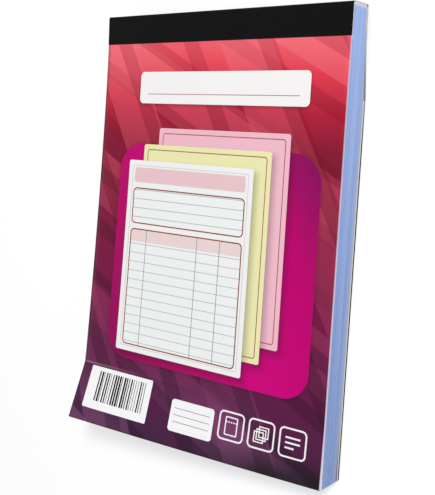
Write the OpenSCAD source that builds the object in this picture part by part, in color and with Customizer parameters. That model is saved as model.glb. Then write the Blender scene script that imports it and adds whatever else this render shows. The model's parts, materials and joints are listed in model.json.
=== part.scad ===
// Carbonless invoice book of three-part sets, bound across the head with a tape
// It lies on its back: X across the page, Y towards the bound head, Z out of the front cover

/* [Book] */
// Width of the page and the cover
page_w = 137; // [90:1:220]
// Height of the closed book from the foot to the outside of the tape
book_h = 203; // [120:1:310]
// Number of sets, each of a white, a yellow and a pink sheet
set_count = 50; // [15:1:60]

/* [Paper and card] */
// Thickness of one sheet of carbonless paper
sheet_t = 0.064; // [0.05:0.002:0.1]
// Air between two free sheets of the block, left by perforating and numbering
sheet_air = 0.021; // [0.011:0.002:0.035]
// Air between two sheets in the pressed head
bound_air = 0.004; // [0.002:0.002:0.01]
// Thickness of the front cover card
cover_t = 0.3; // [0.2:0.05:0.6]
// Thickness of the grey back board
board_t = 1; // [0.6:0.1:2.5]
// Thickness of the writing shield card
shield_t = 0.6; // [0.25:0.05:0.8]
// Clearance above and below the writing shield, and under the cover
card_gap = 0.08; // [0.03:0.01:0.2]

/* [Binding] */
// Lap of the tape on the front and on the back, which is also the fold line of the leaves
tape_lap = 13.5; // [11:0.5:22]
// Thickness of the tape
tape_t = 0.18; // [0.1:0.02:0.4]
// Radius inside the tape where it wraps round the edges of the head
wrap_r = 0.6; // [0.3:0.1:1]
// Width of the strip along the head that the stitches press flat
press_w = 7.5; // [6.5:0.5:9]
// Length below the tape over which board and sheets rise towards the pressed head
rise_run = 24; // [10:1:40]
// Thickness of the padding glue on the heads of the sheets
glue_t = 0.15; // [0.05:0.05:0.3]

/* [Wire stitches] */
// Diameter of the stitching wire
wire_d = 0.5; // [0.4:0.05:0.7]
// Length of a stitch along the head, between its legs
crown_w = 12; // [8:1:20]
// Distance between the middles of the two stitches
stitch_pitch = 72; // [40:1:76]
// Distance of the stitches from the outside of the head
stitch_inset = 5; // [3.5:0.5:5.5]
// Length of each leg that is bent over at the back
clinch_w = 4.5; // [3:0.5:5]
// Clearance round the wire in what it pierces
wire_clear = 0.08; // [0.05:0.01:0.12]

/* [Perforation] */
// Distance from the fold line to the perforation
perf_gap = 3.5; // [2:0.5:12]
// Spacing of the paper ties that hold a copy
perf_pitch = 2.5; // [1.5:0.1:6]
// Width of one tie
perf_tie = 0.8; // [0.4:0.1:1.2]
// Length of the slits between the ties
perf_slit = 0.3; // [0.2:0.05:0.8]

/* [Curl of the front cover] */
// Lift of the whole left side at the foot, as the cover springs open
bow_left = 12; // [0:0.5:25]
// Lift of the whole right side at the foot
bow_right = 0; // [0:0.5:10]
// Power by which that lift grows from the fold line to the foot, where 1 is a straight slope
bow_power = 1.4; // [1.2:0.1:3]
// Distance of the crease from the foot
crease_d = 29; // [15:1:50]
// Further lift below the crease at the left corner
curl_left = 8; // [0:0.2:15]
// Further lift below the crease at the right corner
curl_right = 1; // [0:0.1:8]

/* [Hidden] */
bundle_count = 7;
sheet_kinds = ["white", "yellow", "pink"];
bundle_names = [for (kind = sheet_kinds) for (b = [1:bundle_count]) str(kind, "_sheets_", b)];

// Colours of the pieces
board_colour = "#8C867C";
shield_colour = "#DAD5CC";
tape_colour = "#1B1B1D";
wire_colour = "#B9BCC0";
glue_colour = "#E8E2CF";
cover_colour = "#C2185B";
sheet_colours = ["#F3F4F1", "#F2EBA6", "#F4B8C6"];

// Places along the page
head_y = book_h / 2;
foot_y = -book_h / 2;
wrap_y = head_y - tape_t - wrap_r;
paper_head_y = head_y - tape_t - glue_t;
press_y = head_y - press_w;
fold_y = head_y - tape_lap;
perf_y = fold_y - perf_gap;
stitch_y = head_y - stitch_inset;
rise_y = fold_y - rise_run;
shield_head_gap = 1;
shield_head_y = rise_y - shield_head_gap;

// Heights of the layers
sheet_count = len(sheet_kinds) * set_count;
last_leaf = len(sheet_kinds) - 1;
sheet_pitch = sheet_t + sheet_air;
shield_z = board_t + card_gap;
block_z = shield_z + shield_t + card_gap;
cover_z = free_z(0) + sheet_t + card_gap;
cover_top = cover_z + cover_t;
board_rise = bound_z(sheet_count - 1) - bound_air - board_t;
lap_rise = board_rise * (fold_y - rise_y) / (press_y - rise_y);

// The fold line that the cover and the leaves turn about
fold_gap = 0.05;
fold_z = cover_top + tape_t / 2 + fold_gap;
fold_room = 0.1;
fold_r = fold_z - free_z(last_leaf) + fold_room;
tear_gap = 0.02;

// The stitching wire
bend_r = 0.9 * wire_d;
wire_sink = 0.05;
crown_z = cover_top - wire_sink - wire_d / 2;
clinch_z = board_rise + wire_sink + wire_d / 2;
room_d = wire_d + 2 * wire_clear;
room_sides = 8;
cut_past = 1;
$fn = 48;

// Mesh of the curled cover and of the rounded tape
curl_cols = 14;
bow_rows = 12;
curl_rows = 4;
wrap_steps = 8;

// Underside of a sheet in the free block and in the pressed head, counted from the top
// The front stays flat, so each sheet below the first set is pressed up a little more than the one before
function free_z(i) = block_z + (sheet_count - 1 - i) * sheet_pitch;
function bound_z(i) = free_z(i) + max(0, i - last_leaf) * (sheet_air - bound_air);

// First set of a bundle, counted from the top, where set 0 is the one with the free leaves
function bundle_start(b) = 1 + floor((b - 1) * (set_count - 1) / bundle_count);

// Lift of the cover over its flat place, at a point across and along the page
function across(x, left, right) = left + (right - left) * (x / page_w + 0.5);
function bow_share(y) = pow((fold_y - y) / (fold_y - foot_y), bow_power);
function curl_run(y) = max(0, foot_y + crease_d - y);
function cover_lift(x, y) =
    across(x, bow_left, bow_right) * bow_share(y) + across(x, curl_left, curl_right) * curl_run(y) / crease_d;

// The card keeps its length, so a steep curl draws its foot in towards the crease
function curl_angle(x) = atan(
    across(x, bow_left, bow_right) * bow_power / (fold_y - foot_y)
    + across(x, curl_left, curl_right) / crease_d);
function draw_in(x, y) = curl_run(y) * (1 - cos(curl_angle(x)));

// Points on a quarter turn
function quarter(y, z, r, from) = [for (k = [0:wrap_steps])
    let (a = from - 90 * k / wrap_steps)
    [y + r * cos(a), z + r * sin(a)]];

// Outline of the bound head from the front fold line, round the head, to the back fold line
function head_outline(grow) = concat(
    [[fold_y, cover_top + grow]],
    quarter(wrap_y, cover_top - wrap_r, wrap_r + grow, 90),
    quarter(wrap_y, board_rise + wrap_r, wrap_r + grow, 0),
    [[press_y, board_rise - grow], [fold_y, lap_rise - grow]]);

// Extrudes an outline drawn along the page and up, across the width of the page
module across_page() {
    translate([-page_w / 2, 0, 0])
        rotate([90, 0, 90])
            linear_extrude(page_w)
                children();
}

// Board or sheet that runs from the foot up into the pressed head
module bound_layer(end_y, free_level, bound_level, t) {
    low = [[foot_y, free_level], [rise_y, free_level], [press_y, bound_level], [end_y, bound_level]];
    high = [for (k = [len(low) - 1:-1:0]) low[k] + [0, t]];
    difference() {
        across_page()
            polygon(concat(low, high));
        stitch_room();
    }
}

// Flat leaf between two places along the page
module flat_leaf(start_y, end_y, level, t) {
    translate([-page_w / 2, start_y, level])
        cube([page_w, end_y - start_y, t]);
}

// Flat strip from the fold line to the head, pierced by the stitches
module bound_margin(end_y, level, t) {
    difference() {
        flat_leaf(fold_y, end_y, level, t);
        stitch_room();
    }
}

// Round room about the fold line that every leaf leaves free
module fold_space() {
    translate([-page_w / 2 - cut_past, fold_y, fold_z])
        rotate([0, 90, 0])
            cylinder(r = fold_r, h = page_w + 2 * cut_past);
}

// Places something at each of the two stitches
module at_stitches() {
    for (side = [-1, 1])
        translate([side * stitch_pitch / 2, stitch_y, 0])
            children();
}

// Room for the wire in the layers that it pierces or presses into
module stitch_room() {
    slot_w = crown_w + room_d;
    crown_floor = crown_z - room_d / 2;
    clinch_roof = clinch_z + room_d / 2;
    at_stitches() {
        for (side = [-1, 1])
            translate([side * crown_w / 2, 0, -cut_past])
                cylinder(d = room_d / cos(180 / room_sides), h = cover_top + 2 * cut_past, $fn = room_sides);
        translate([-slot_w / 2, -room_d / 2, crown_floor])
            cube([slot_w, room_d, cover_top + cut_past - crown_floor]);
        translate([-slot_w / 2, -room_d / 2, -cut_past])
            cube([slot_w, room_d, clinch_roof + cut_past]);
    }
}

// Straight piece of wire, upright or along the head
module wire_leg(from_z, to_z) {
    translate([0, 0, from_z])
        cylinder(d = wire_d, h = to_z - from_z);
}

module wire_run(from_x, to_x) {
    translate([from_x, 0, 0])
        rotate([0, 90, 0])
            cylinder(d = wire_d, h = to_x - from_x);
}

// Quarter bend of wire whose ends point down and to the left
module wire_bend() {
    translate([-bend_r, 0, -bend_r])
        rotate([90, 0, 0])
            rotate_extrude(angle = 90)
                translate([bend_r, 0])
                    circle(d = wire_d);
}

// Half of one stitch: half the crown, a leg and its clinched end
module half_stitch() {
    translate([crown_w / 2, 0, crown_z])
        wire_bend();
    translate([0, 0, crown_z])
        wire_run(0, crown_w / 2 - bend_r);
    translate([crown_w / 2, 0, 0])
        wire_leg(clinch_z + bend_r, crown_z - bend_r);
    translate([crown_w / 2, 0, clinch_z])
        mirror([0, 0, 1])
            wire_bend();
    translate([0, 0, clinch_z])
        wire_run(crown_w / 2 - bend_r - clinch_w, crown_w / 2 - bend_r);
}

module wire_stitches() {
    color(wire_colour)
        at_stitches() {
            half_stitch();
            mirror([1, 0, 0])
                half_stitch();
        }
}

module back_board() {
    color(board_colour)
        bound_layer(wrap_y, 0, board_rise, board_t);
}

module writing_shield() {
    color(shield_colour)
        flat_leaf(foot_y, shield_head_y, shield_z, shield_t);
}

module binding_tape() {
    inside = head_outline(0);
    outside = head_outline(tape_t);
    color(tape_colour)
        across_page()
            polygon(concat(outside, [for (k = [len(inside) - 1:-1:0]) inside[k]]));
}

module head_glue() {
    color(glue_colour)
        translate([-page_w / 2, paper_head_y, board_rise + wrap_r])
            cube([page_w, glue_t, cover_top - board_rise - 2 * wrap_r]);
}

module cover_margin() {
    color(cover_colour)
        bound_margin(wrap_y, cover_z, cover_t);
}

// Front cover below the fold line, a sheet swept over the grid of its lift
module front_cover() {
    crease_y = foot_y + crease_d;
    rows = concat(
        [for (r = [0:bow_rows - 1]) fold_y + (crease_y - fold_y) * r / bow_rows],
        [for (r = [0:curl_rows]) crease_y - crease_d * r / curl_rows]);
    row_n = len(rows);
    col_n = curl_cols + 1;
    layer = row_n * col_n;
    points = [for (side = [0, 1]) for (y = rows) for (c = [0:curl_cols])
        let (x = page_w * (c / curl_cols - 0.5))
        [x, y + draw_in(x, y), cover_z + side * cover_t + cover_lift(x, y)]];
    under = [for (r = [0:row_n - 2]) for (c = [0:curl_cols - 1])
        let (a = r * col_n + c, b = a + col_n)
        each [[a, a + 1, b], [a + 1, b + 1, b]]];
    over = [for (f = under) [f[0] + layer, f[2] + layer, f[1] + layer]];
    rim = concat(
        [for (c = [0:curl_cols]) c],
        [for (r = [1:row_n - 1]) r * col_n + curl_cols],
        [for (c = [curl_cols - 1:-1:0]) (row_n - 1) * col_n + c],
        [for (r = [row_n - 2:-1:1]) r * col_n]);
    walls = [for (k = [0:len(rim) - 1])
        let (a = rim[k], b = rim[(k + 1) % len(rim)])
        each [[a, a + layer, b], [b, a + layer, b + layer]]];
    color(cover_colour)
        difference() {
            polyhedron(points, concat(under, over, walls));
            fold_space();
        }
}

// Stub of a sheet of the first set, bound in the head
module stub(i) {
    color(sheet_colours[i])
        bound_margin(paper_head_y, free_z(i), sheet_t);
}

// Strip between fold and perforation, with the ties that hold the copy
module tear_strip(i) {
    tie_n = floor((page_w - perf_tie) / perf_pitch);
    tie_run = (tie_n - 1) * perf_pitch;
    color(sheet_colours[i])
        difference() {
            union() {
                flat_leaf(perf_y, fold_y, free_z(i), sheet_t);
                for (k = [0:tie_n - 1])
                    translate([k * perf_pitch - tie_run / 2 - perf_tie / 2, perf_y - perf_slit, free_z(i)])
                        cube([perf_tie, perf_slit + perf_gap / 2, sheet_t]);
            }
            fold_space();
        }
}

// Copy that tears off below the perforation
module torn_copy(i) {
    color(sheet_colours[i])
        flat_leaf(foot_y, perf_y - perf_slit - tear_gap, free_z(i), sheet_t);
}

// Copy that stays in the book and turns at the fold line
module bound_copy(i) {
    color(sheet_colours[i])
        difference() {
            flat_leaf(foot_y, fold_y, free_z(i), sheet_t);
            fold_space();
        }
}

// One kind of sheet from all the sets of one bundle
module bundle(kind, b) {
    color(sheet_colours[kind])
        for (s = [bundle_start(b):bundle_start(b + 1) - 1])
            let (i = s * len(sheet_kinds) + kind)
            bound_layer(paper_head_y, free_z(i), bound_z(i), sheet_t);
}

back_board();
writing_shield();
binding_tape();
wire_stitches();
head_glue();
cover_margin();
front_cover();
stub(0);  // white_stub
stub(1);  // yellow_stub
stub(2);  // pink_stub
tear_strip(0);  // white_strip
torn_copy(0);  // white_copy
tear_strip(1);  // yellow_strip
torn_copy(1);  // yellow_copy
bound_copy(2);  // pink_copy
for (kind = [0:len(sheet_kinds) - 1])
    for (b = [1:bundle_count])
        bundle(kind, b);
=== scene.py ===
import json
import math

import bpy
from mathutils import Matrix, Vector

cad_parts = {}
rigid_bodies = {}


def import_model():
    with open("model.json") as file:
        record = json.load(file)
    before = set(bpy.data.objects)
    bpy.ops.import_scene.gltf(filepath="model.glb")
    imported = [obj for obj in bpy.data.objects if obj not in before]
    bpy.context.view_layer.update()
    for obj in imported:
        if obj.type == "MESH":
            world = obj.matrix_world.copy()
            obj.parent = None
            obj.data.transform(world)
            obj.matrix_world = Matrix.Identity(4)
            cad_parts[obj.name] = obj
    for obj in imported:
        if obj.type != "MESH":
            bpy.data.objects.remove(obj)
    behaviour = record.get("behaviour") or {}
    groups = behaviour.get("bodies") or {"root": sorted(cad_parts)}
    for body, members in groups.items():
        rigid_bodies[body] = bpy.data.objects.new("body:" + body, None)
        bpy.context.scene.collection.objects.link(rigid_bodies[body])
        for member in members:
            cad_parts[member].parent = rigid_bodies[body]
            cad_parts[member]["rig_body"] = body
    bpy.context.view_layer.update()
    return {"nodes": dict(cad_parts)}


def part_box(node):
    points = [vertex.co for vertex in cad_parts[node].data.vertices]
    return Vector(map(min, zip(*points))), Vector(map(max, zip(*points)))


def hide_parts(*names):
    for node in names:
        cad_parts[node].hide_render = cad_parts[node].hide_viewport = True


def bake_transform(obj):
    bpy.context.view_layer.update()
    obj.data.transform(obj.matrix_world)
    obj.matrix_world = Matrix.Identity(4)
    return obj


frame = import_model()
nodes = frame["nodes"]
mm = 0.001
print("frame loaded with", len(nodes), "nodes")

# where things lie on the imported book, in metres
boardLow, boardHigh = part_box("back_board")
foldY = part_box("binding_tape")[0].y  # lower edge of the tape, where all leaves fold
footY = boardLow.y
pageWidth = boardHigh.x - boardLow.x
leafLength = foldY - footY
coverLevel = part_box("front_cover")[0].z  # underside of the flat part of the cover
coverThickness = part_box("cover_margin")[1].z - coverLevel

# the same in mm, for print and patterns on the page, whose middle is 0, 0
pageFoot, pageFold, pageSide = footY / mm, foldY / mm, pageWidth / 2 / mm
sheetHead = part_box("head_glue")[0].y / mm  # head ends of the sheets
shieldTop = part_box("writing_shield")[1].z / mm


def linear(hexText):
    shares = [int(hexText[k:k + 2], 16) / 255 for k in (1, 3, 5)]
    return [s / 12.92 if s <= 0.04045 else ((s + 0.055) / 1.055) ** 2.4 for s in shares] + [1.0]


def addNode(tree, kind, links=None, **settings):
    node = tree.nodes.new(kind)
    for name, value in settings.items():
        setattr(node, name, value)
    for key, value in (links or {}).items():
        if isinstance(value, bpy.types.Node):
            value = value.outputs[0]
        if isinstance(value, bpy.types.NodeSocket):
            tree.links.new(value, node.inputs[key])
        else:
            node.inputs[key].default_value = value
    return node


def newMaterial(name):
    material = bpy.data.materials.new(name)
    material.use_nodes = True
    return material, material.node_tree, material.node_tree.nodes["Principled BSDF"]


def setRamp(ramp, stops):
    while len(ramp.color_ramp.elements) < len(stops):
        ramp.color_ramp.elements.new(0.5)
    for element, (place, ink) in zip(ramp.color_ramp.elements, stops):
        element.position = place
        element.color = linear(ink)


noiseSpan = (0.3, 0.7)  # where most values of a noise texture lie


# clouds a surface between its tones, gives the clouds a slight relief and sets the shine
def addClouds(tree, shader, place, look):
    clouds = addNode(tree, "ShaderNodeTexNoise", {
        "Vector": place, "Scale": 1 / (look["cloud"] * mm), "Detail": look["detail"]})
    tone = addNode(tree, "ShaderNodeValToRGB", {0: clouds})
    setRamp(tone, look["tones"])
    bump = addNode(tree, "ShaderNodeBump", {
        "Strength": look["bump"], "Distance": look["depth"] * mm, "Height": clouds})
    tree.links.new(bump.outputs[0], shader.inputs["Normal"])
    shader.inputs["Roughness"].default_value = look["roughness"]
    shader.inputs["Specular IOR Level"].default_value = look["specular"]
    return tone.outputs[0]


# distance in mm from the outline of a rounded box, less than zero inside it
def makeRoundedBox():
    tree = bpy.data.node_groups.new("roundedBox", "ShaderNodeTree")
    for label in ("Point", "Centre", "Half"):
        tree.interface.new_socket(label, in_out="INPUT", socket_type="NodeSocketVector")
    tree.interface.new_socket("Radius", in_out="INPUT", socket_type="NodeSocketFloat")
    tree.interface.new_socket("Distance", in_out="OUTPUT", socket_type="NodeSocketFloat")
    given = addNode(tree, "NodeGroupInput").outputs
    radius = given["Radius"]
    apart = addNode(tree, "ShaderNodeVectorMath", {0: given["Point"], 1: given["Centre"]},
                    operation="SUBTRACT")
    side = addNode(tree, "ShaderNodeVectorMath", {0: apart}, operation="ABSOLUTE")
    past = addNode(tree, "ShaderNodeVectorMath", {0: side, 1: given["Half"]}, operation="SUBTRACT")
    rounding = addNode(tree, "ShaderNodeCombineXYZ", {0: radius, 1: radius})
    corner = addNode(tree, "ShaderNodeVectorMath", {0: past, 1: rounding}, operation="ADD")
    outer = addNode(tree, "ShaderNodeVectorMath", {0: corner, 1: (0, 0, 0)}, operation="MAXIMUM")
    reach = addNode(tree, "ShaderNodeVectorMath", {0: outer}, operation="LENGTH")
    parts = addNode(tree, "ShaderNodeSeparateXYZ", {0: corner}).outputs
    nearest = addNode(tree, "ShaderNodeMath", {0: parts[0], 1: parts[1]}, operation="MAXIMUM")
    inner = addNode(tree, "ShaderNodeMath", {0: nearest, 1: 0.0}, operation="MINIMUM")
    total = addNode(tree, "ShaderNodeMath", {0: reach.outputs["Value"], 1: inner}, operation="ADD")
    distance = addNode(tree, "ShaderNodeMath", {0: total, 1: radius}, operation="SUBTRACT")
    addNode(tree, "NodeGroupOutput", {"Distance": distance})
    return tree


roundedBox = makeRoundedBox()


def moved(shape, step):
    return dict(shape, centre=(shape["centre"][0] + step[0], shape["centre"][1] + step[1]))


def boxGap(tree, point, shape):
    return addNode(tree, "ShaderNodeGroup", {
        "Point": point, "Centre": (*shape["centre"], 0), "Half": (*shape["half"], 0),
        "Radius": shape.get("radius", 0.0)}, node_tree=roundedBox)


# lays an ink or a shaded tone over what is below, as a filled box or as an outline of a given line width
def stamp(tree, below, point, shape, ink):
    gap = boxGap(tree, point, shape)
    if "line" in shape:
        gap = addNode(tree, "ShaderNodeMath", {0: gap}, operation="ABSOLUTE")
    mask = addNode(tree, "ShaderNodeMath", {0: gap, 1: shape.get("line", 0.0) / 2}, operation="LESS_THAN")
    tone = linear(ink) if isinstance(ink, str) else ink
    return addNode(tree, "ShaderNodeMix", {0: mask, 6: below, 7: tone}, data_type="RGBA").outputs[2]


# rules a box with evenly spaced lines
def rule(tree, below, point, shape, rows):
    height = addNode(tree, "ShaderNodeSeparateXYZ", {0: point}).outputs[1]
    step = addNode(tree, "ShaderNodeMath", {0: height, 1: rows["pitch"]}, operation="DIVIDE")
    turn = addNode(tree, "ShaderNodeMath", {0: step}, operation="FRACT")
    line = addNode(tree, "ShaderNodeMath", {0: turn, 1: rows["line"] / rows["pitch"]}, operation="LESS_THAN")
    inside = addNode(tree, "ShaderNodeMath", {0: boxGap(tree, point, shape), 1: 0.0}, operation="LESS_THAN")
    mask = addNode(tree, "ShaderNodeMath", {0: line, 1: inside}, operation="MULTIPLY")
    ink = linear(rows["ink"])
    return addNode(tree, "ShaderNodeMix", {0: mask, 6: below, 7: ink}, data_type="RGBA").outputs[2]


# soft dark edge that a printed sheet throws on the print behind it
def softShadow(tree, below, point, shape, shadow):
    gap = boxGap(tree, point, shape)
    shade = addNode(tree, "ShaderNodeMapRange", {
        0: gap, 1: -shadow["reach"], 2: shadow["reach"], 3: shadow["share"], 4: 0.0},
        interpolation_type="SMOOTHSTEP")
    ink = linear(shadow["ink"])
    return addNode(tree, "ShaderNodeMix", {0: shade, 6: below, 7: ink}, data_type="RGBA").outputs[2]


groundArt = {  # colours by shares of the way from the foot to the fold
    "ground": ((0.0, "#452243"), (0.12, "#581d47"), (0.3, "#74164a"), (0.52, "#801a40"), (0.75, "#861a37"),
               (0.83, "#b4213c"), (0.92, "#e63f52"), (1.0, "#fb6673")),
    "veils": (  # inks of the slanted bands, a light and a dark one
        ((0.0, "#8c5782"), (0.2, "#823462"), (0.55, "#bd3f62"), (0.85, "#ee5c70"), (1.0, "#fd7f88")),
        ((0.0, "#1b0f1e"), (0.3, "#380a28"), (0.6, "#570a22"), (0.85, "#93132e"), (1.0, "#c22f48"))),
    "bands": (  # slant in degrees, pitch in mm, shift and width as shares of the pitch, strength, which veil
        (62, 58.0, 0.42, 0.42, 0.44, 0), (62, 23.0, 0.6, 0.30, 0.42, 1),
        (28, 71.0, 0.4, 0.35, 0.38, 0), (28, 37.0, 0.35, 0.22, 0.42, 1)),
    "darkCorner": {"height": 15.0, "from": 2.0, "to": 38.0, "share": 0.9, "ink": "#1c171d"},  # mm
}


def printGround(tree, point):
    parts = addNode(tree, "ShaderNodeSeparateXYZ", {0: point}).outputs
    share = addNode(tree, "ShaderNodeMapRange", {0: parts[1], 1: pageFoot, 2: pageFold})
    tones = []
    for stops in (groundArt["ground"], *groundArt["veils"]):
        tones.append(addNode(tree, "ShaderNodeValToRGB", {0: share}))
        setRamp(tones[-1], stops)
    ink, *veils = tones
    for slant, pitch, shift, part, strength, which in groundArt["bands"]:
        way = (math.cos(math.radians(slant)) / pitch, math.sin(math.radians(slant)) / pitch, 0)
        run = addNode(tree, "ShaderNodeVectorMath", {0: point, 1: way}, operation="DOT_PRODUCT")
        shifted = addNode(tree, "ShaderNodeMath", {0: run.outputs["Value"], 1: shift}, operation="ADD")
        turn = addNode(tree, "ShaderNodeMath", {0: shifted}, operation="FRACT")
        band = addNode(tree, "ShaderNodeMath", {0: turn, 1: part}, operation="LESS_THAN")
        veil = addNode(tree, "ShaderNodeMath", {0: band, 1: strength}, operation="MULTIPLY")
        ink = addNode(tree, "ShaderNodeMix", {0: veil, 6: ink, 7: veils[which]}, data_type="RGBA").outputs[2]
    # nearly black towards the right corner of the foot
    corner = groundArt["darkCorner"]
    low = addNode(tree, "ShaderNodeMapRange", {
        0: parts[1], 1: pageFoot, 2: pageFoot + corner["height"], 3: 1.0, 4: 0.0},
        interpolation_type="SMOOTHSTEP")
    right = addNode(tree, "ShaderNodeMapRange", {
        0: parts[0], 1: corner["from"], 2: corner["to"], 3: 0.0, 4: corner["share"]})
    dark = addNode(tree, "ShaderNodeMath", {0: low, 1: right}, operation="MULTIPLY")
    black = linear(corner["ink"])
    return addNode(tree, "ShaderNodeMix", {0: dark, 6: ink, 7: black}, data_type="RGBA").outputs[2]


panelArt = {  # mm
    "box": {"centre": (2, -13), "half": (57, 53), "radius": 13},
    "shadow": {"reach": 2.5, "share": 0.5, "ink": "#240a20"},
    "inks": ((0.0, "#9a0b5e"), (0.2, "#b90869"), (0.5, "#d4007f"), (0.8, "#c00070"), (1.0, "#80105a")),
    "slope": (0.0062, 0.0036),  # share of the inks that each mm to the right and each mm up takes
    "middle": 0.5,  # the share in the middle of the page
}


def printPanel(tree, ink, point):
    ink = softShadow(tree, ink, point, panelArt["box"], panelArt["shadow"])
    slope = addNode(tree, "ShaderNodeVectorMath", {0: point, 1: (*panelArt["slope"], 0)},
                    operation="DOT_PRODUCT")
    share = addNode(tree, "ShaderNodeMath", {0: slope.outputs["Value"], 1: panelArt["middle"]},
                    operation="ADD")
    glow = addNode(tree, "ShaderNodeValToRGB", {0: share})
    setRamp(glow, panelArt["inks"])
    return stamp(tree, ink, point, panelArt["box"], glow)


sheetArt = {  # mm; a fan of three blank forms
    "sheet": {"centre": (-12, -15), "half": (37, 47), "radius": 1.2},
    "step": (9.0, 8.0),  # from one sheet to the one behind it
    "papers": ("#f8fbfa", "#f4f1b8", "#f9c2d1"),  # first, second and third copy
    "shadow": {"reach": 3.5, "share": 0.55, "ink": "#240a20"},
    "shadowFall": (1.5, -2.0),
    "frame": {"half": (34.5, 44.5), "line": 0.45},
    "frameInks": ("#e6dcd9", "#a4655a", "#a4655a"),
    # the boxes of the first form, from its middle
    "heading": {"centre": (0, 40), "half": (33, 3.6), "radius": 1.2},
    "headingInk": "#f2ccd2",
    "party": {"centre": (0, 25), "half": (33, 8.5), "radius": 2},
    "partyRows": {"pitch": 4.4, "line": 0.32, "ink": "#a9b2b3"},
    "table": {"centre": (0, -15), "half": (33, 28.5), "radius": 2},
    "tableHead": {"centre": (0, 10.5), "half": (33, 3)},
    "tableHeadInk": "#f3dcdc",
    "tableBody": {"centre": (0, -18), "half": (33, 25.5), "radius": 2},
    "tableRows": {"pitch": 4.4, "line": 0.32, "ink": "#b3bbbc"},
    "columns": (-23, 8, 21),
    "column": {"centre": (0, -15), "half": (0.2, 28.5)},
    "columnInk": "#9aa0a0",
    "outline": 0.6,
    "outlineInk": "#9a4b3d",
}


def printSheets(tree, ink, point):
    art, (stepX, stepY) = sheetArt, sheetArt["step"]
    for k in (2, 1, 0):
        sheet = moved(art["sheet"], (k * stepX, k * stepY))
        ink = softShadow(tree, ink, point, moved(sheet, art["shadowFall"]), art["shadow"])
        ink = stamp(tree, ink, point, sheet, art["papers"][k])
        ink = stamp(tree, ink, point, {**sheet, **art["frame"]}, art["frameInks"][k])
    names = ("heading", "party", "table", "tableHead", "tableBody", "column")
    boxes = [moved(art[name], art["sheet"]["centre"]) for name in names]
    heading, party, table, tableHead, tableBody, column = boxes
    ink = stamp(tree, ink, point, heading, art["headingInk"])
    ink = rule(tree, ink, point, party, art["partyRows"])
    ink = stamp(tree, ink, point, dict(party, line=art["outline"]), art["outlineInk"])
    ink = stamp(tree, ink, point, tableHead, art["tableHeadInk"])
    ink = rule(tree, ink, point, tableBody, art["tableRows"])
    for x in art["columns"]:
        ink = stamp(tree, ink, point, moved(column, (x, 0)), art["columnInk"])
    return stamp(tree, ink, point, dict(table, line=art["outline"]), art["outlineInk"])


labelArt = {  # mm
    "plate": {"centre": (3, 67), "half": (48, 7.5), "radius": 2.2},
    "plateInk": "#fefbfb",
    "plateShadow": {"reach": 1.6, "share": 0.5, "ink": "#4a0c22"},
    "plateFall": (0.0, -0.8),
    "plateLine": {"centre": (3, 64), "half": (43, 0.2)},
    "plateLineInk": "#b48d97",
    "label": {"centre": (-43, -84), "half": (19.5, 10.5), "radius": 0.8},
    "labelInk": "#fdfcfe",
    "bars": {"centre": (-42, -83), "half": (15, 7.5)},
    "barPitch": 1.45,
    "barWidth": (0.2, 0.8),  # least and most, as shares of the pitch
    "barInk": "#17141a",
    "note": {"centre": (1.5, -86.5), "half": (12, 7.5), "radius": 1.6},
    "noteBody": {"centre": (1.5, -86.5), "half": (10, 6)},
    "noteRows": {"pitch": 3.2, "line": 0.35, "ink": "#9b96a0"},
}


def printLabels(tree, ink, point):
    art = labelArt
    ink = softShadow(tree, ink, point, moved(art["plate"], art["plateFall"]), art["plateShadow"])
    ink = stamp(tree, ink, point, art["plate"], art["plateInk"])
    ink = stamp(tree, ink, point, art["plateLine"], art["plateLineInk"])
    ink = stamp(tree, ink, point, art["label"], art["labelInk"])
    # bars of chance width, which stand for no number
    across = addNode(tree, "ShaderNodeSeparateXYZ", {0: point}).outputs[0]
    step = addNode(tree, "ShaderNodeMath", {0: across, 1: art["barPitch"]}, operation="DIVIDE")
    count = addNode(tree, "ShaderNodeMath", {0: step}, operation="FLOOR")
    chance = addNode(tree, "ShaderNodeTexWhiteNoise", {"W": count}, noise_dimensions="1D")
    least, most = art["barWidth"]
    width = addNode(tree, "ShaderNodeMapRange", {0: chance.outputs["Value"], 3: least, 4: most})
    turn = addNode(tree, "ShaderNodeMath", {0: step}, operation="FRACT")
    dark = addNode(tree, "ShaderNodeMath", {0: turn, 1: width}, operation="LESS_THAN")
    bars = boxGap(tree, point, art["bars"])
    inside = addNode(tree, "ShaderNodeMath", {0: bars, 1: 0.0}, operation="LESS_THAN")
    bar = addNode(tree, "ShaderNodeMath", {0: dark, 1: inside}, operation="MULTIPLY")
    black = linear(art["barInk"])
    ink = addNode(tree, "ShaderNodeMix", {0: bar, 6: ink, 7: black}, data_type="RGBA").outputs[2]
    ink = stamp(tree, ink, point, art["note"], art["labelInk"])
    return rule(tree, ink, point, art["noteBody"], art["noteRows"])


badgeArt = {  # mm
    "middles": (23, 38.5, 54),
    "height": -84.5,
    "ink": "#fdf9fd",
    "rim": {"half": (6.3, 6.3), "radius": 2.0, "line": 0.8},
    "leaf": {"half": (3, 4), "radius": 0.4, "line": 0.6},
    "slit": {"half": (0.38, 0.3)},
    "slitPitch": 1.25,
    "slitRise": 1.8,
    "copy": {"half": (2.3, 2.3), "line": 0.55},
    "copyStep": 1.2,
    "lineHalves": (3.6, 3.6, 2.2),  # half lengths of the lines, from the top
    "lineWeight": 0.4,  # half their width
    "linePitch": 2.3,
}


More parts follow.
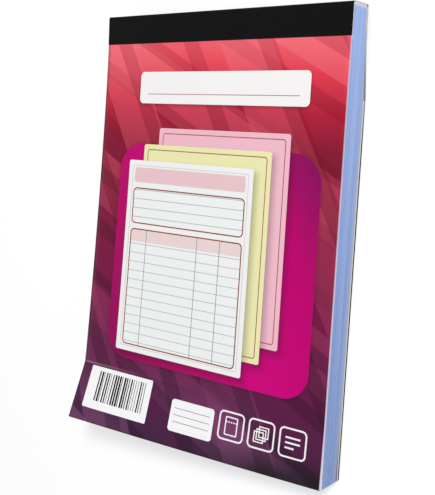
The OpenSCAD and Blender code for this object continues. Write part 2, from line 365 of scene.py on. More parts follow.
def printBadges(tree, ink, point):
    art, y = badgeArt, badgeArt["height"]
    leaf, pile, lines = art["middles"]
    shapes = [dict(art["rim"], centre=(x, y)) for x in art["middles"]]
    # a leaf with a row of slits
    shapes.append(dict(art["leaf"], centre=(leaf, y)))
    for k in (-2, -1, 0, 1, 2):
        shapes.append(dict(art["slit"], centre=(leaf + k * art["slitPitch"], y + art["slitRise"])))
    # three copies, one behind the other
    for k in (-1, 0, 1):
        shapes.append(dict(art["copy"], centre=(pile + k * art["copyStep"], y + k * art["copyStep"])))
    # lines to write on, all from one margin
    for k, half in enumerate(art["lineHalves"]):
        middle = (lines + half - art["lineHalves"][0], y + (1 - k) * art["linePitch"])
        shapes.append({"centre": middle, "half": (half, art["lineWeight"])})
    for shape in shapes:
        ink = stamp(tree, ink, point, shape, art["ink"])
    return ink


coverShape = {  # mm, as the cover was left after being thumbed open
    "bow": (12.0, 0.0),  # lift at the foot, left and right side
    "bowPower": 1.4,
    "creaseFromFoot": 29.0,
    "creaseRadius": 1.2,
    "curl": (8.0, 1.0),  # further lift below the crease
    "columns": 49,
    "rows": 261,
    "rowPower": 1.6,  # rows crowd together at the fold
    "bend": 0.7,  # length of card that bends when it is turned
}

coverRubbingAndPaintedLight = {  # mm; a rubbed edge, which is wear, and a painted shade and a painted highlight at the crease
    "rubbed": 0.65,  # width of the rubbed right edge
    "rubbedShare": (0.95, 0.45),  # at the foot and at the fold
    "rubbedInk": "#e6daf0",
    "shade": 8.0,  # height of the painted shade below the crease
    "paintedShadeEnd": 20.0,  # how far to the right it goes
    "paintedShadeShare": 0.6,
    "paintedShadeInk": "#25102a",
    "paintedHighlight": (0.2, 0.9),  # from the crease, where the painted highlight starts to fade and where it ends
    "paintedHighlightEnd": -25.0,
    "paintedHighlightShare": 0.22,
    "paintedHighlightInk": "#dcb9cf",
}


# rubs the right edge of the print, and paints shade below the crease and a highlight along it
def rubAndPaintLightOnCover(tree, ink, point):
    rubbingAndLight = coverRubbingAndPaintedLight
    parts = addNode(tree, "ShaderNodeSeparateXYZ", {0: point}).outputs
    across, height = parts[0], parts[1]
    # the right edge is rubbed: the white of the card shows in a thin line, most of all near the foot
    line = addNode(tree, "ShaderNodeMapRange", {
        0: across, 1: pageSide - rubbingAndLight["rubbed"], 2: pageSide - rubbingAndLight["rubbed"] / 2},
        interpolation_type="SMOOTHSTEP")
    atFoot, atFold = rubbingAndLight["rubbedShare"]
    share = addNode(tree, "ShaderNodeMapRange", {0: height, 1: pageFoot, 2: pageFold, 3: atFoot, 4: atFold})
    rubbed = addNode(tree, "ShaderNodeMath", {0: line, 1: share}, operation="MULTIPLY")
    card = linear(rubbingAndLight["rubbedInk"])
    ink = addNode(tree, "ShaderNodeMix", {0: rubbed, 6: ink, 7: card}, data_type="RGBA").outputs[2]
    # painted shade: the ground is darker just below the crease, most of all near the left edge
    creaseY = pageFoot + coverShape["creaseFromFoot"]
    fromCrease = addNode(tree, "ShaderNodeMath", {0: height, 1: creaseY}, operation="SUBTRACT")
    below = addNode(tree, "ShaderNodeMath", {0: fromCrease, 1: 0.0}, operation="LESS_THAN")
    deep = addNode(tree, "ShaderNodeMapRange", {0: fromCrease, 1: -rubbingAndLight["shade"], 2: 0.0})
    fading = addNode(tree, "ShaderNodeMapRange", {
        0: across, 1: -pageSide, 2: rubbingAndLight["paintedShadeEnd"], 3: rubbingAndLight["paintedShadeShare"], 4: 0.0})
    offLabel = addNode(tree, "ShaderNodeMath", {0: boxGap(tree, point, labelArt["label"]), 1: 0.0},
                       operation="GREATER_THAN")
    shade = below
    for factor in (deep, fading, offLabel):
        shade = addNode(tree, "ShaderNodeMath", {0: shade, 1: factor}, operation="MULTIPLY")
    dark = linear(rubbingAndLight["paintedShadeInk"])
    ink = addNode(tree, "ShaderNodeMix", {0: shade, 6: ink, 7: dark}, data_type="RGBA").outputs[2]
    # painted highlight along the crease, near the left edge
    offCrease = addNode(tree, "ShaderNodeMath", {0: fromCrease}, operation="ABSOLUTE")
    start, end = rubbingAndLight["paintedHighlight"]
    bent = addNode(tree, "ShaderNodeMapRange", {0: offCrease, 1: start, 2: end, 3: 1.0, 4: 0.0},
                   interpolation_type="SMOOTHSTEP")
    fading = addNode(tree, "ShaderNodeMapRange", {
        0: across, 1: -pageSide, 2: rubbingAndLight["paintedHighlightEnd"], 3: rubbingAndLight["paintedHighlightShare"], 4: 0.0})
    paintedHighlight = addNode(tree, "ShaderNodeMath", {0: bent, 1: fading}, operation="MULTIPLY")
    pale = linear(rubbingAndLight["paintedHighlightInk"])
    return addNode(tree, "ShaderNodeMix", {0: paintedHighlight, 6: ink, 7: pale}, data_type="RGBA").outputs[2]


filmLook = {  # mm; the film takes a faint unevenness from the card
    "wave": 9.0,
    "grain": 0.8,
    "grainShare": 0.12,  # of the grain's relief beside that of the waves
    "bump": 0.05,
    "depth": 0.4,
    "roughness": (0.27, 0.35),
    "specular": 0.08,
}


# offset-printed card with a gloss film: deep even ink, a soft even shine, white card where it is rubbed
def laminatedPrintedCard():
    material, tree, shader = newMaterial("laminatedPrintedCard")
    pageUv = addNode(tree, "ShaderNodeUVMap", uv_map="page")
    point = addNode(tree, "ShaderNodeVectorMath", {
        0: pageUv, 1: (1 / mm, 1 / mm, 0), 2: (-pageSide, pageFoot, 0)}, operation="MULTIPLY_ADD")
    ink = printGround(tree, point)
    for layer in (printPanel, printSheets, printLabels, printBadges, rubAndPaintLightOnCover):
        ink = layer(tree, ink, point)
    tree.links.new(ink, shader.inputs["Base Color"])
    waves = addNode(tree, "ShaderNodeTexNoise", {
        "Vector": point, "Scale": 1 / filmLook["wave"], "Detail": 1.0})
    grain = addNode(tree, "ShaderNodeTexNoise", {
        "Vector": point, "Scale": 1 / filmLook["grain"], "Detail": 2.0})
    uneven = addNode(tree, "ShaderNodeMath", {0: grain, 1: filmLook["grainShare"], 2: waves},
                     operation="MULTIPLY_ADD")
    bump = addNode(tree, "ShaderNodeBump", {
        "Strength": filmLook["bump"], "Distance": filmLook["depth"] * mm, "Height": uneven})
    tree.links.new(bump.outputs[0], shader.inputs["Normal"])
    (low, high), (glossy, dull) = noiseSpan, filmLook["roughness"]
    roughness = addNode(tree, "ShaderNodeMapRange", {0: grain, 1: low, 2: high, 3: glossy, 4: dull})
    tree.links.new(roughness.outputs[0], shader.inputs["Roughness"])
    shader.inputs["Specular IOR Level"].default_value = filmLook["specular"]
    return material


cardLook = {  # mm
    "cloud": 1.5, "detail": 5.0, "tones": ((0.3, "#dfdad9"), (0.7, "#f0ecea")),
    "bump": 0.15, "depth": 0.1, "roughness": 0.8, "specular": 0.25,
}


# uncoated inside and cut edge of the cover card: white, dull, with a faint cloud of fibres
def bareCard():
    material, tree, shader = newMaterial("bareWhiteCard")
    pageUv = addNode(tree, "ShaderNodeUVMap", uv_map="page")
    tone = addClouds(tree, shader, pageUv, cardLook)
    tree.links.new(tone, shader.inputs["Base Color"])
    return material


tapeLook = {  # mm
    "threadPitch": 0.55,  # real threads are about 0.3 mm, drawn wider so that they show
    "waver": 0.6,  # how far the threads stray
    "nap": 0.35,
    "napShare": 0.5,  # of the nap's relief beside that of the weave
    "cloud": 14.0,
    "tones": ((0.1, "#08080a"), (0.5, "#111113"), (0.9, "#1c1c1e")),
    "bump": 0.3,
    "depth": 0.1,
    "roughness": (0.55, 0.7),
    "specular": 0.06,
}


# black binding cloth with a size coating: nearly black, a fine crossed grain, paler and duller in clouds
def bindingCloth():
    material, tree, shader = newMaterial("blackBindingCloth")
    place = addNode(tree, "ShaderNodeTexCoord").outputs["Object"]
    point = addNode(tree, "ShaderNodeVectorMath", {0: place, "Scale": 1 / mm}, operation="SCALE")
    threads = []
    for direction in ("X", "Y"):  # a wave of scale 1 comes back every pi / 10
        threads.append(addNode(tree, "ShaderNodeTexWave", {
            "Vector": point, "Scale": math.pi / 10 / tapeLook["threadPitch"], "Distortion": tapeLook["waver"],
            "Detail": 2.0, "Detail Scale": 1.5}, bands_direction=direction).outputs["Fac"])
    weave = addNode(tree, "ShaderNodeMath", {0: threads[0], 1: threads[1]}, operation="MULTIPLY")
    nap = addNode(tree, "ShaderNodeTexNoise", {"Vector": point, "Scale": 1 / tapeLook["nap"], "Detail": 3.0})
    cloud = addNode(tree, "ShaderNodeTexNoise", {
        "Vector": point, "Scale": 1 / tapeLook["cloud"], "Detail": 3.0})
    relief = addNode(tree, "ShaderNodeMath", {0: nap, 1: tapeLook["napShare"], 2: weave},
                     operation="MULTIPLY_ADD")
    mixed = addNode(tree, "ShaderNodeMath", {0: relief, 1: cloud}, operation="MULTIPLY")
    tone = addNode(tree, "ShaderNodeValToRGB", {0: mixed})
    setRamp(tone, tapeLook["tones"])
    tree.links.new(tone.outputs[0], shader.inputs["Base Color"])
    bump = addNode(tree, "ShaderNodeBump", {
        "Strength": tapeLook["bump"], "Distance": tapeLook["depth"] * mm, "Height": relief})
    tree.links.new(bump.outputs[0], shader.inputs["Normal"])
    (low, high), (glossy, dull) = noiseSpan, tapeLook["roughness"]
    roughness = addNode(tree, "ShaderNodeMapRange", {0: cloud, 1: low, 2: high, 3: glossy, 4: dull})
    tree.links.new(roughness.outputs[0], shader.inputs["Roughness"])
    shader.inputs["Specular IOR Level"].default_value = tapeLook["specular"]
    return material


formPrint = {  # mm on the page; a blank bill form with no words
    "party": {"centre": (0, 50), "half": (61, 15), "radius": 3},
    "strip": {"centre": (0, 28), "half": (61, 4.5), "radius": 2.5},
    "table": {"centre": (0, -32), "half": (61, 53), "radius": 3},
    "tableHead": {"centre": (0, 17), "half": (61, 4)},
    "total": {"centre": (39.5, -91), "half": (21.5, 4.5), "radius": 2},
    "numberBox": {"centre": (44, 73), "half": (17, 4), "radius": 1.5},
    "cells": {"table": (-42, 18, 38), "strip": (-20, 21)},  # where upright lines part them
    "cellLine": 0.15,  # half the width of those lines
    "outline": 0.45,
    "frameInk": "#8f4237",
    "tintInk": "#eccfca",
    "rows": {"pitch": 6.8, "line": 0.25, "ink": "#a7adad"},
}


def printForm(tree, ink, point):
    for box in ("tableHead", "strip"):
        ink = stamp(tree, ink, point, formPrint[box], formPrint["tintInk"])
    for box in ("party", "table"):
        ink = rule(tree, ink, point, formPrint[box], formPrint["rows"])
    for box, places in formPrint["cells"].items():
        middle, half = formPrint[box]["centre"][1], formPrint[box]["half"][1]
        for x in places:
            line = {"centre": (x, middle), "half": (formPrint["cellLine"], half)}
            ink = stamp(tree, ink, point, line, formPrint["frameInk"])
    for box in ("party", "strip", "table", "total", "numberBox"):
        ink = stamp(tree, ink, point, dict(formPrint[box], line=formPrint["outline"]), formPrint["frameInk"])
    return ink


edgeLook = {  # mm
    "rim": 0.12,  # how far in the blue shows on the faces
    "streak": 0.9,  # real sheets are 0.064 mm, drawn as thicker streaks so that they show
    "streakDrift": 0.006,  # how slowly a streak changes along the sheet
    "tones": ((0.3, "#93ade6"), (0.5, "#a2baec"), (0.7, "#b1c7f2")),
    "stainsAndShades": (  # stains and painted shade; what each is measured from, where it is full, where it ends, how strong it is, its ink
        {"from": "foot", "full": 0.0, "end": leafLength / mm, "share": 0.3, "ink": "#576c9a"},  # painted shade: darker towards the foot
        {"from": "shield", "full": 1.0, "end": 3.6, "share": 0.5, "ink": "#bdbcc2"},  # greyer at the rear
        # in shade at the foot, where the shield stands off the rearmost sheets
        {"from": "shield", "full": 0.9, "end": 1.5, "share": 0.75, "ink": "#4d4953", "footLength": 24.0},
        # soaked with glue at the head
        {"from": "head", "full": 0.3, "end": 2.2, "share": 0.8, "ink": "#dfe0e0", "fade": "SMOOTHSTEP"}),
}


# the cut edges are pale blue, in a narrow rim of the faces too
def trimEdges(tree, ink, point):
    drift = edgeLook["streakDrift"]
    stretched = addNode(tree, "ShaderNodeVectorMath", {0: point, 1: (drift, drift, 1 / edgeLook["streak"])},
                        operation="MULTIPLY")
    streaks = addNode(tree, "ShaderNodeTexNoise", {"Vector": stretched, "Scale": 1.0, "Detail": 3.0})
    blue = addNode(tree, "ShaderNodeValToRGB", {0: streaks})
    setRamp(blue, edgeLook["tones"])
    parts = addNode(tree, "ShaderNodeSeparateXYZ", {0: point}).outputs
    away = {
        "foot": addNode(tree, "ShaderNodeMath", {0: parts[1], 1: pageFoot}, operation="SUBTRACT"),
        "head": addNode(tree, "ShaderNodeMath", {0: sheetHead, 1: parts[1]}, operation="SUBTRACT"),
        "shield": addNode(tree, "ShaderNodeMath", {0: parts[2], 1: shieldTop}, operation="SUBTRACT"),
    }
    tone = blue.outputs[0]
    # stains, and painted shade towards the foot
    for toneLayer in edgeLook["stainsAndShades"]:
        share = addNode(tree, "ShaderNodeMapRange", {
            0: away[toneLayer["from"]], 1: toneLayer["full"], 2: toneLayer["end"], 3: toneLayer["share"], 4: 0.0},
            interpolation_type=toneLayer.get("fade", "LINEAR"))
        if "footLength" in toneLayer:
            nearFoot = addNode(tree, "ShaderNodeMapRange", {
                0: away["foot"], 1: 0.0, 2: toneLayer["footLength"], 3: 1.0, 4: 0.0})
            share = addNode(tree, "ShaderNodeMath", {0: share, 1: nearFoot}, operation="MULTIPLY")
        toneLayerInk = linear(toneLayer["ink"])
        tone = addNode(tree, "ShaderNodeMix", {0: share, 6: tone, 7: toneLayerInk}, data_type="RGBA").outputs[2]
    side = addNode(tree, "ShaderNodeMath", {0: parts[0]}, operation="ABSOLUTE")
    fromSide = addNode(tree, "ShaderNodeMath", {0: pageSide, 1: side}, operation="SUBTRACT")
    inset = addNode(tree, "ShaderNodeMath", {0: fromSide, 1: away["foot"]}, operation="MINIMUM")
    edge = addNode(tree, "ShaderNodeMath", {0: inset, 1: edgeLook["rim"]}, operation="LESS_THAN")
    return addNode(tree, "ShaderNodeMix", {0: edge, 6: ink, 7: tone}, data_type="RGBA").outputs[2]


paperLook = {  # mm
    "white": ((0.3, "#eef0ec"), (0.7, "#f6f7f4")),
    "yellow": ((0.3, "#efe793"), (0.7, "#f5eea6")),
    "pink": ((0.3, "#f1b3c1"), (0.7, "#f6bfcb")),
    "cloud": 2.5, "detail": 4.0, "bump": 0.08, "depth": 0.1, "roughness": 0.85, "specular": 0.2,
}
steepest = 0.5  # a surface whose normal rises less is an edge


# carbonless paper: dull smooth faces in their copy's colour, a printed form, and cut edges of another colour
def carbonlessPaper(name, kind, trimmed=True):
    material, tree, shader = newMaterial(name)
    place = addNode(tree, "ShaderNodeTexCoord").outputs
    ink = addClouds(tree, shader, place["Object"], dict(paperLook, tones=paperLook[kind]))
    if trimmed:
        point = addNode(tree, "ShaderNodeVectorMath", {0: place["Object"], "Scale": 1 / mm},
                        operation="SCALE")
        onPage = addNode(tree, "ShaderNodeVectorMath", {0: point, 1: (1, 1, 0)}, operation="MULTIPLY")
        facing = addNode(tree, "ShaderNodeSeparateXYZ", {0: place["Normal"]}).outputs[2]
        front = addNode(tree, "ShaderNodeMath", {0: facing, 1: steepest}, operation="GREATER_THAN")
        form = printForm(tree, ink, onPage)
        ink = addNode(tree, "ShaderNodeMix", {0: front, 6: ink, 7: form}, data_type="RGBA").outputs[2]
        ink = trimEdges(tree, ink, point)
    tree.links.new(ink, shader.inputs["Base Color"])
    return material


shieldLook = {  # mm
    "cloud": 1.2, "detail": 5.0, "tones": ((0.3, "#e0dcd4"), (0.7, "#f2efe9")),
    "bump": 0.15, "depth": 0.1, "roughness": 0.8, "specular": 0.25,
}


# light manila-white card of the shield: dull, faint specks of bleached fibre
def shieldCard():
    material, tree, shader = newMaterial("whiteLinedCard")
    place = addNode(tree, "ShaderNodeTexCoord").outputs["Object"]
    tone = addClouds(tree, shader, place, shieldLook)
    tree.links.new(tone, shader.inputs["Base Color"])
    return material


boardLook = {  # mm
    "cloud": 6.0, "detail": 6.0, "tones": ((0.3, "#736b61"), (0.55, "#857c71"), (0.75, "#938a7f")),
    "bump": 0.3, "depth": 0.15, "roughness": 0.9, "specular": 0.2,
    "speckPitch": 1.1,
    "speckSize": 0.16,  # as a share of the pitch
    "cutTones": ((0.0, "#4a4541"), (0.2, "#2c2a2c"), (0.4, "#17181d"), (0.76, "#26272d"), (0.86, "#85878e"),
                 (1.0, "#c9cdd4")),  # from the foot to the fold
}


# grey board pressed from waste paper: brownish grey, clouded, with dark and light specks
def greyBoard():
    material, tree, shader = newMaterial("greyBoard")
    place = addNode(tree, "ShaderNodeTexCoord").outputs
    tone = addClouds(tree, shader, place["Object"], boardLook)
    specks = addNode(tree, "ShaderNodeTexVoronoi", {
        "Vector": place["Object"], "Scale": 1 / (boardLook["speckPitch"] * mm)}).outputs
    spot = addNode(tree, "ShaderNodeMath", {0: specks["Distance"], 1: boardLook["speckSize"]},
                   operation="LESS_THAN")
    fleck = addNode(tree, "ShaderNodeMix", {0: spot, 6: tone, 7: specks["Color"]}, data_type="RGBA",
                    blend_type="SOFT_LIGHT").outputs[2]
    # cut edges are darker than the pressed faces: brownish at the foot, nearly black along the middle and
    # pale towards the fold
    facing = addNode(tree, "ShaderNodeSeparateXYZ", {0: place["Normal"]}).outputs[2]
    tilt = addNode(tree, "ShaderNodeMath", {0: facing}, operation="ABSOLUTE")
    edge = addNode(tree, "ShaderNodeMath", {0: tilt, 1: steepest}, operation="LESS_THAN")
    height = addNode(tree, "ShaderNodeSeparateXYZ", {0: place["Object"]}).outputs[1]
    towardsFold = addNode(tree, "ShaderNodeMapRange", {0: height, 1: footY, 2: foldY})
    cut = addNode(tree, "ShaderNodeValToRGB", {0: towardsFold})
    setRamp(cut, boardLook["cutTones"])
    board = addNode(tree, "ShaderNodeMix", {0: edge, 6: fleck, 7: cut}, data_type="RGBA")
    tree.links.new(board.outputs[2], shader.inputs["Base Color"])
    return material


wireLook = {"streak": 0.3, "tones": ((0.3, "#9a9da1"), (0.7, "#bcc0c4")), "roughness": (0.3, 0.45)}  # mm


# drawn galvanised stitching wire: grey metal with a dull, slightly streaked shine
def galvanisedWire():
    material, tree, shader = newMaterial("galvanisedWire")
    place = addNode(tree, "ShaderNodeTexCoord").outputs["Object"]
    streaks = addNode(tree, "ShaderNodeTexNoise", {
        "Vector": place, "Scale": 1 / (wireLook["streak"] * mm), "Detail": 3.0})
    tone = addNode(tree, "ShaderNodeValToRGB", {0: streaks})
    setRamp(tone, wireLook["tones"])
    tree.links.new(tone.outputs[0], shader.inputs["Base Color"])
    (low, high), (glossy, dull) = noiseSpan, wireLook["roughness"]
    roughness = addNode(tree, "ShaderNodeMapRange", {0: streaks, 1: low, 2: high, 3: glossy, 4: dull})
    tree.links.new(roughness.outputs[0], shader.inputs["Roughness"])
    shader.inputs["Metallic"].default_value = 1.0
    return material


glueLook = {  # mm
    "cloud": 0.8, "detail": 3.0, "tones": ((0.3, "#ddd6c0"), (0.7, "#ece6d4")),
    "bump": 0.2, "depth": 0.1, "roughness": 0.4, "specular": 0.5,
}


# dried padding glue: cream, brushed on, a little shiny
def paddingGlue():
    material, tree, shader = newMaterial("paddingGlue")
    place = addNode(tree, "ShaderNodeTexCoord").outputs["Object"]
    tone = addClouds(tree, shader, place, glueLook)
    tree.links.new(tone, shader.inputs["Base Color"])
    return material


copies = ("white", "yellow", "pink")
paperOf = {kind: carbonlessPaper(kind + "CarbonlessPaper", kind) for kind in copies}
foldPaperOf = {kind: carbonlessPaper(kind + "FoldedPaper", kind, trimmed=False) for kind in copies}
printedCard = laminatedPrintedCard()
whiteCard = bareCard()
nodeMaterials = {
    "back_board": greyBoard(),
    "writing_shield": shieldCard(),
    "binding_tape": bindingCloth(),
    "wire_stitches": galvanisedWire(),
    "head_glue": paddingGlue(),
    "cover_margin": whiteCard,
    "front_cover": whiteCard,
}
for name, node in nodes.items():
    material = nodeMaterials.get(name) or paperOf[name.split("_")[0]]
    node.data.materials.clear()
    node.data.materials.append(material)
print("materials on", len(nodes), "nodes")

weldGap = 0.002 * mm


# a leaf that starts at the fold and runs to the foot, lifted by a bow and by a curl below a crease
def makeLeafTree():
    tree = bpy.data.node_groups.new("boundLeaf", "GeometryNodeTree")
    tree.interface.new_socket("Geometry", in_out="OUTPUT", socket_type="NodeSocketGeometry")
    for label in ("Width", "Length", "Thickness", "Fold Y", "Level", "Bow Left", "Bow Right", "Bow Power",
                  "Crease From Foot", "Crease Radius", "Curl Left", "Curl Right", "Row Power"):
        tree.interface.new_socket(label, in_out="INPUT", socket_type="NodeSocketFloat")
    for label in ("Columns", "Rows"):
        tree.interface.new_socket(label, in_out="INPUT", socket_type="NodeSocketInt")
    for label in ("Face", "Core"):
        tree.interface.new_socket(label, in_out="INPUT", socket_type="NodeSocketMaterial")
    given = addNode(tree, "NodeGroupInput").outputs
    grid = addNode(tree, "GeometryNodeMeshGrid", {
        "Size X": 1.0, "Size Y": 1.0, "Vertices X": given["Columns"], "Vertices Y": given["Rows"]})
    parts = addNode(tree, "ShaderNodeSeparateXYZ", {0: grid.outputs["UV Map"]}).outputs
    across, up = parts[0], parts[1]
    fromFold = addNode(tree, "ShaderNodeMath", {0: 1.0, 1: up}, operation="SUBTRACT")
    along = addNode(tree, "ShaderNodeMath", {0: fromFold, 1: given["Row Power"]}, operation="POWER")
    run = addNode(tree, "ShaderNodeMath", {0: along, 1: given["Length"]}, operation="MULTIPLY")
    right = addNode(tree, "ShaderNodeMath", {0: across, 1: given["Width"]}, operation="MULTIPLY")
    halfWidth = addNode(tree, "ShaderNodeMath", {0: given["Width"], 1: 0.5}, operation="MULTIPLY")
    x = addNode(tree, "ShaderNodeMath", {0: right, 1: halfWidth}, operation="SUBTRACT")
    flatY = addNode(tree, "ShaderNodeMath", {0: given["Fold Y"], 1: run}, operation="SUBTRACT")
    bowHere = addNode(tree, "ShaderNodeMapRange", {0: across, 3: given["Bow Left"], 4: given["Bow Right"]})
    bowShare = addNode(tree, "ShaderNodeMath", {0: along, 1: given["Bow Power"]}, operation="POWER")
    bow = addNode(tree, "ShaderNodeMath", {0: bowHere, 1: bowShare}, operation="MULTIPLY")
    # the crease is a short round bend, drawn as a hyperbola between the two slopes
    creaseRun = addNode(tree, "ShaderNodeMath", {0: given["Length"], 1: given["Crease From Foot"]},
                        operation="SUBTRACT")
    past = addNode(tree, "ShaderNodeMath", {0: run, 1: creaseRun}, operation="SUBTRACT")
    reach = addNode(tree, "ShaderNodeCombineXYZ", {0: past, 1: given["Crease Radius"]})
    rounded = addNode(tree, "ShaderNodeVectorMath", {0: reach}, operation="LENGTH")
    twiceRun = addNode(tree, "ShaderNodeMath", {0: past, 1: rounded.outputs["Value"]}, operation="ADD")
    curlRun = addNode(tree, "ShaderNodeMath", {0: twiceRun, 1: 0.5}, operation="MULTIPLY")
    curlHere = addNode(tree, "ShaderNodeMapRange", {0: across, 3: given["Curl Left"], 4: given["Curl Right"]})
    curlSlope = addNode(tree, "ShaderNodeMath", {0: curlHere, 1: given["Crease From Foot"]},
                        operation="DIVIDE")
    lift = addNode(tree, "ShaderNodeMath", {0: curlRun, 1: curlSlope, 2: bow}, operation="MULTIPLY_ADD")
    z = addNode(tree, "ShaderNodeMath", {0: lift, 1: given["Level"]}, operation="ADD")
    # the card keeps its length, so a steep curl draws its foot in towards the crease
    bowRise = addNode(tree, "ShaderNodeMath", {0: bowHere, 1: given["Bow Power"]}, operation="MULTIPLY")
    bowSlope = addNode(tree, "ShaderNodeMath", {0: bowRise, 1: given["Length"]}, operation="DIVIDE")
    steep = addNode(tree, "ShaderNodeMath", {0: bowSlope, 1: curlSlope}, operation="ADD")
    tilt = addNode(tree, "ShaderNodeMath", {0: steep}, operation="ARCTANGENT")
    reachShare = addNode(tree, "ShaderNodeMath", {0: tilt}, operation="COSINE")
    lostShare = addNode(tree, "ShaderNodeMath", {0: 1.0, 1: reachShare}, operation="SUBTRACT")
    y = addNode(tree, "ShaderNodeMath", {0: curlRun, 1: lostShare, 2: flatY}, operation="MULTIPLY_ADD")
    place = addNode(tree, "ShaderNodeCombineXYZ", {0: x, 1: y, 2: z})
    fromFoot = addNode(tree, "ShaderNodeMath", {0: given["Length"], 1: run}, operation="SUBTRACT")
    pageUv = addNode(tree, "ShaderNodeCombineXYZ", {0: right, 1: fromFoot})
    marked = addNode(tree, "GeometryNodeStoreNamedAttribute", {
        "Geometry": grid, "Name": "page", "Value": pageUv}, data_type="FLOAT2", domain="CORNER")
    under = addNode(tree, "GeometryNodeSetPosition", {"Geometry": marked, "Position": place})
    thick = addNode(tree, "ShaderNodeCombineXYZ", {2: given["Thickness"]})
    body = addNode(tree, "GeometryNodeExtrudeMesh", {
        "Mesh": under, "Offset": thick, "Offset Scale": 1.0, "Individual": False})
    back = addNode(tree, "GeometryNodeFlipFaces", {"Mesh": under})
    joined = addNode(tree, "GeometryNodeJoinGeometry", {"Geometry": body})
    tree.links.new(back.outputs[0], joined.inputs[0])
    merged = addNode(tree, "GeometryNodeMergeByDistance", {"Geometry": joined, "Distance": weldGap})
    smooth = addNode(tree, "GeometryNodeSetShadeSmooth", {"Geometry": merged, "Shade Smooth": True})
    rim = addNode(tree, "GeometryNodeSetShadeSmooth", {
        "Geometry": smooth, "Selection": body.outputs["Side"], "Shade Smooth": False})
    real = addNode(tree, "GeometryNodeRealizeInstances", {"Geometry": rim})
    core = addNode(tree, "GeometryNodeSetMaterial", {"Geometry": real, "Material": given["Core"]})
    face = addNode(tree, "GeometryNodeSetMaterial", {
        "Geometry": core, "Selection": body.outputs["Top"], "Material": given["Face"]})
    addNode(tree, "NodeGroupOutput", {"Geometry": face})
    return tree


leafTree = makeLeafTree()


# runs a tree with its sizes and keeps the result as a plain mesh
def growPiece(name, tree, sizes):
    maker = bpy.data.objects.new(name + "Maker", bpy.data.meshes.new(name + "Maker"))
    bpy.context.scene.collection.objects.link(maker)
    modifier = maker.modifiers.new("grow", "NODES")
    modifier.node_group = tree
    for item in tree.interface.items_tree:
        if item.in_out == "INPUT":
            modifier[item.identifier] = sizes[item.name]
    grown = maker.evaluated_get(bpy.context.evaluated_depsgraph_get())
    mesh = bpy.data.meshes.new_from_object(grown)
    maker.modifiers.clear()
    bpy.data.objects.remove(maker)
    piece = bpy.data.objects.new(name, mesh)
    bpy.context.scene.collection.objects.link(piece)
    return piece


def makeCover():
    shape = coverShape
    (bowLeft, bowRight), (curlLeft, curlRight) = shape["bow"], shape["curl"]
    piece = growPiece("printed_cover", leafTree, {
        "Width": pageWidth, "Length": leafLength, "Thickness": coverThickness, "Fold Y": foldY,
        "Level": coverLevel, "Bow Left": bowLeft * mm, "Bow Right": bowRight * mm,
        "Bow Power": shape["bowPower"], "Crease From Foot": shape["creaseFromFoot"] * mm,
        "Crease Radius": shape["creaseRadius"] * mm, "Curl Left": curlLeft * mm, "Curl Right": curlRight * mm,
        "Row Power": shape["rowPower"], "Columns": shape["columns"], "Rows": shape["rows"],
        "Face": printedCard, "Core": whiteCard})
    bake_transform(piece)
    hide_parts("front_cover")
    return piece


# what each fold leads to
foldPapers = {"white": "white_strip", "yellow": "yellow_strip", "pink": "pink_copy"}
flatLeaf = {
    "Bow Left": 0.0, "Bow Right": 0.0, "Bow Power": 1.0, "Crease Radius": 0.0, "Curl Left": 0.0,
    "Curl Right": 0.0, "Row Power": 1.0, "Columns": 2, "Rows": 17,
}


# the short bend of paper between a bound stub and the leaf that turns
def makeFoldPaper(kind, leafNode):
    low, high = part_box(leafNode)
    length = foldY - high.y
    piece = growPiece(kind + "_fold", leafTree, {
        **flatLeaf, "Width": pageWidth, "Length": length, "Thickness": high.z - low.z, "Fold Y": foldY,
        "Level": low.z, "Crease From Foot": length, "Face": foldPaperOf[kind], "Core": foldPaperOf[kind]})
    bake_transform(piece)


cover = makeCover()
for kind, leafNode in foldPapers.items():
    makeFoldPaper(kind, leafNode)
print("cover has", len(cover.data.polygons), "faces")

studio = {  # metres and watts
    "ambient": 0.42,
    "floorSize": 8.0,
    "floorDrop": 0.0001,  # below the back of the book
    "floor": ("#f2f2f2", "#c6c6c6"),  # as it lights the book, and as it is seen, for a faint shadow
    "floorGlow": (0.54, 0.80),  # near the book and far from it, where the lamp gives little
    "floorGlowReach": (0.3, 1.1),
    "keyPlace": (0.75, 0.80, 1.25),
    "keySize": 0.35,
    "keyPower": 17.0,
}


# one for rays that look at the background straight, in a mirror or through glass
def looksAtBackground(tree):
    path = addNode(tree, "ShaderNodeLightPath").outputs
    seen = path["Is Camera Ray"]
    for ray in ("Is Glossy Ray", "Is Transmission Ray"):
        seen = addNode(tree, "ShaderNodeMath", {0: seen, 1: path[ray]}, operation="MAXIMUM").outputs[0]
    return seen


# white room: those rays see plain white, and its light on the book is less
def makeStudio():
    world = bpy.data.worlds.new("whiteRoom")
    bpy.context.scene.world = world
    world.use_nodes = True
    tree = world.node_tree
    level = addNode(tree, "ShaderNodeMath", {
        0: looksAtBackground(tree), 1: 1 - studio["ambient"], 2: studio["ambient"]}, operation="MULTIPLY_ADD")
    room = tree.nodes["Background"]
    room.inputs["Color"].default_value = (1, 1, 1, 1)
    tree.links.new(level.outputs[0], room.inputs["Strength"])


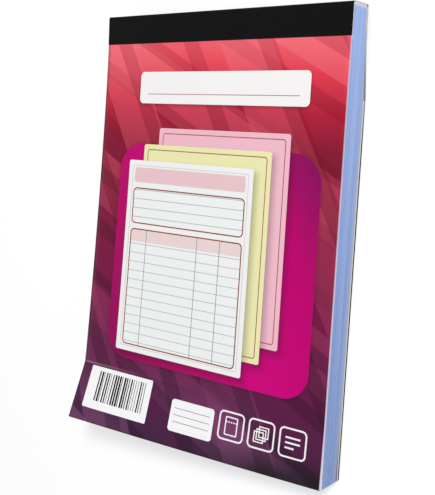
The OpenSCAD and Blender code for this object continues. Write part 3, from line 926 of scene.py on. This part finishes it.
# matt white sweep, which glows for those rays so that it looks white and still keeps the shadow
def makeFloor():
    material, tree, shader = newMaterial("whiteSweep")
    place = addNode(tree, "ShaderNodeTexCoord").outputs["Object"]
    away = addNode(tree, "ShaderNodeVectorMath", {0: place}, operation="LENGTH").outputs["Value"]
    (near, far), (start, end) = studio["floorGlow"], studio["floorGlowReach"]
    level = addNode(tree, "ShaderNodeMapRange", {0: away, 1: start, 2: end, 3: near, 4: far})
    seen = looksAtBackground(tree)
    glow = addNode(tree, "ShaderNodeMath", {0: seen, 1: level}, operation="MULTIPLY")
    lighting, looks = studio["floor"]
    tone = addNode(tree, "ShaderNodeMix", {0: seen, 6: linear(lighting), 7: linear(looks)}, data_type="RGBA")
    tree.links.new(tone.outputs[2], shader.inputs["Base Color"])
    shader.inputs["Roughness"].default_value = 1.0
    shader.inputs["Specular IOR Level"].default_value = 0.0
    shader.inputs["Emission Color"].default_value = (1, 1, 1, 1)
    tree.links.new(glow.outputs[0], shader.inputs["Emission Strength"])
    half = studio["floorSize"] / 2
    low = boardLow.z - studio["floorDrop"]
    corners = [(-half, -half, low), (half, -half, low), (half, half, low), (-half, half, low)]
    mesh = bpy.data.meshes.new("floor")
    mesh.from_pydata(corners, [], [(0, 1, 2, 3)])
    mesh.materials.append(material)
    floor = bpy.data.objects.new("floor", mesh)
    bpy.context.scene.collection.objects.link(floor)


def makeKeyLight():
    lamp = bpy.data.lights.new("windowLight", "AREA")
    lamp.size = studio["keySize"]
    lamp.energy = studio["keyPower"]
    light = bpy.data.objects.new("windowLight", lamp)
    bpy.context.scene.collection.objects.link(light)
    place = Vector(studio["keyPlace"])
    light.matrix_world = Matrix.Translation(place) @ (-place).to_track_quat("-Z", "Y").to_matrix().to_4x4()


photoCamera = {  # mm in the book's frame
    "eye": (233.7, 47.7, 308.9),
    "aim": (-4.4, 0.5, 12.7),
    "up": (-0.1139, 0.9913, -0.0662),
    "sensor": 36.0,
    "lens": 59.67,
    "shift": (0.03, -0.03),
    "nearest": 10.0,
}


def makeCamera():
    data = bpy.data.cameras.new("photoCamera")
    data.sensor_width = photoCamera["sensor"]
    data.lens = photoCamera["lens"]
    data.shift_x, data.shift_y = photoCamera["shift"]
    data.clip_start = photoCamera["nearest"] * mm
    camera = bpy.data.objects.new("photoCamera", data)
    bpy.context.scene.collection.objects.link(camera)
    eye = Vector(photoCamera["eye"]) * mm
    back = (eye - Vector(photoCamera["aim"]) * mm).normalized()
    right = Vector(photoCamera["up"]).cross(back).normalized()
    turn = Matrix((right, back.cross(right), back)).transposed()
    camera.matrix_world = Matrix.Translation(eye) @ turn.to_4x4()
    bpy.context.scene.camera = camera


makeStudio()
makeFloor()
makeKeyLight()
makeCamera()
bpy.context.scene.view_settings.view_transform = "Standard"
print("studio and camera set")
